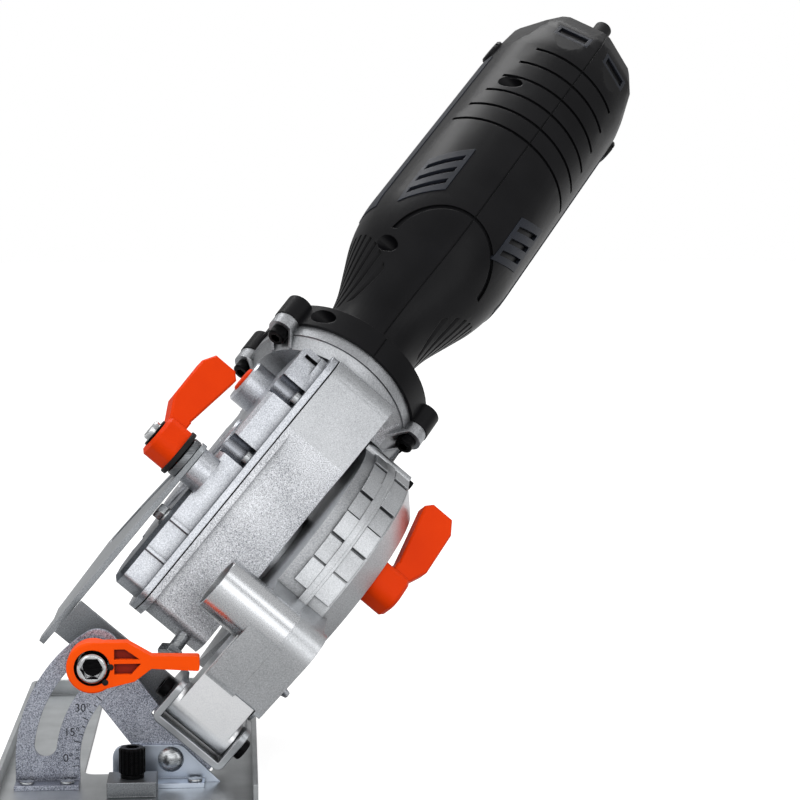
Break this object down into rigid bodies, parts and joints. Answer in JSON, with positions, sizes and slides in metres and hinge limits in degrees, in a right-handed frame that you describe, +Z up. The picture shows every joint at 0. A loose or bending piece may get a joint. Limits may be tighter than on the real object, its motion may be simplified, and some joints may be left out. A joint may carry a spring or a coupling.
{
  "type": "mini circular saw",
  "caption": "Compact plunge circular saw: slim motor grip in line behind a cast gear case and half guard, on a tilting base with bevel quadrant, depth plate and clamp levers.",
  "frame": {"origin": "on the sole, straight below the bevel pivot at the front of the base", "axes": "+X to the right as seen from the front, +Y back along the base, +Z up from the sole"},
  "size_m": [0.3076, 0.3562, 0.337],
  "materials": {
    "plated_steel": "zinc plated, satin",
    "base_steel": "pressed sheet, satin",
    "cast_aluminium": "die cast, shot blasted",
    "cover_aluminium": "die cast, smooth",
    "black_housing": "fine moulded texture",
    "grey_insert": "moulded",
    "orange_plastic": "moulded",
    "black_screw": "black oxide",
    "chrome_nut": "polished",
    "bright_steel": "bright",
    "blade_steel": "ground",
    "gear_steel": "hardened",
    "gasket_fibre": "paper fibre",
    "lamination": "laminated steel",
    "copper": "enamelled winding",
    "carbon": "pressed carbon",
    "rubber_gland": "moulded"
  },
  "bodies": {
    "base": {"base_plate": "base_steel", "bevel_quadrant": "plated_steel", "hinge_bracket": "plated_steel", "foot_rivets": "bright_steel", "bevel_pivot_rivet": "bright_steel", "guide_strap": "plated_steel"},
    "guide_screw": {"guide_clamp_screw": "black_screw"},
    "tilt": {"tilt_arm": "plated_steel", "pivot_bracket": "plated_steel", "depth_plate": "plated_steel", "bevel_bolt": "bright_steel", "bevel_washer": "bright_steel", "plunge_pin": "bright_steel", "plunge_pin_screws": "black_screw"},
    "bevel_lever": {"bevel_lever": "orange_plastic", "bevel_lever_nut": "chrome_nut"},
    "depth_lever": {"depth_lever": "orange_plastic", "depth_lever_screw": "chrome_nut"},
    "cover_lever": {"cover_lever": "orange_plastic"},
    "spindle": {"spindle": "gear_steel", "inner_flange": "gear_steel", "outer_flange": "gear_steel", "blade_bolt": "black_screw", "saw_blade": "blade_steel", "spindle_gear": "gear_steel"},
    "layshaft": {"layshaft": "gear_steel", "crown_gear": "gear_steel"},
    "rotor": {"motor_shaft": "gear_steel", "armature": "lamination", "commutator": "copper", "cooling_fan": "grey_insert"},
    "lock_button": {"spindle_lock_button": "orange_plastic"},
    "trigger": {"trigger": "orange_plastic"},
    "head": {"gear_housing": "cast_aluminium", "gear_cover": "cover_aluminium", "gear_gasket": "gasket_fibre", "gear_cover_screws": "bright_steel", "stop_bolt": "bright_steel", "depth_stud": "bright_steel", "depth_spacer": "bright_steel", "guard_body": "cover_aluminium", "guard_cover": "cover_aluminium", "guard_screws": "black_screw", "spindle_bearings": "bright_steel", "layshaft_bearings": "bright_steel", "motor_bearings": "bright_steel", "stator_core": "lamination", "stator_coils": "copper", "carbon_brushes": "carbon", "brush_caps": "black_housing", "motor_housing_left": "black_housing", "motor_housing_right": "black_housing", "housing_screws": "black_screw", "flange_screws": "black_screw", "side_panel_left": "grey_insert", "side_panel_right": "grey_insert", "vent_grilles": "grey_insert", "cord_gland": "rubber_gland", "power_switch": "grey_insert"}
  },
  "joints": [
    {"name": "bevel", "type": "hinge", "parent": "base", "child": "tilt", "pos_m": [0, 0.0015, 0.012], "axis": [0, 1, 0], "range_deg": [-40.8, 4.2]},
    {"name": "plunge", "type": "hinge", "parent": "tilt", "child": "head", "pos_m": [0.0134, 0.006, 0.02752], "axis": [0.757, 0, -0.6534], "range_deg": [-43, 0]},
    {"name": "bevel_clamp", "type": "hinge", "parent": "tilt", "child": "bevel_lever", "pos_m": [-0.03129, 0, 0.05353], "axis": [0, -1, 0], "range_deg": [0, 80]},
    {"name": "depth_clamp", "type": "hinge", "parent": "head", "child": "depth_lever", "pos_m": [-0.00254, 0.04798, 0.13914], "axis": [0.757, 0, -0.6534], "range_deg": [-45, 45]},
    {"name": "cover_clamp", "type": "hinge", "parent": "head", "child": "cover_lever", "pos_m": [0.09086, 0.04743, 0.07441], "axis": [0.757, 0, -0.6534], "range_deg": [-45, 45]},
    {"name": "guide_clamp", "type": "hinge", "parent": "base", "child": "guide_screw", "pos_m": [-0.015, -0.022, 0.01], "axis": [0, 0, 1], "continuous": true},
    {"name": "spindle_spin", "type": "hinge", "parent": "head", "child": "spindle", "pos_m": [0.05319, 0.08492, 0.07363], "axis": [0.757, 0, -0.6534], "continuous": true},
    {"name": "layshaft_spin", "type": "hinge", "parent": "head", "child": "layshaft", "pos_m": [0.04113, 0.0779, 0.12087], "axis": [0.757, 0, -0.6534], "continuous": true},
    {"name": "rotor_spin", "type": "hinge", "parent": "head", "child": "rotor", "pos_m": [0.13735, 0.1948, 0.22851], "axis": [0.5078, 0.6293, 0.5883], "continuous": true},
    {"name": "lock_press", "type": "slide", "parent": "head", "child": "lock_button", "axis": [0.757, 0, -0.6534], "range_m": [0, 0.004], "stiffness_N_per_m": 500, "springref_m": -0.001},
    {"name": "trigger_pull", "type": "slide", "parent": "head", "child": "trigger", "axis": [0.4112, -0.7771, 0.4764], "range_m": [0, 0.003], "stiffness_N_per_m": 700, "springref_m": -0.0015}
  ],
  "couplings": [
    {"joint": "layshaft_spin", "follows": "spindle_spin", "ratio": -1.0909},
    {"joint": "rotor_spin", "follows": "spindle_spin", "ratio": 4.3636}
  ]
}
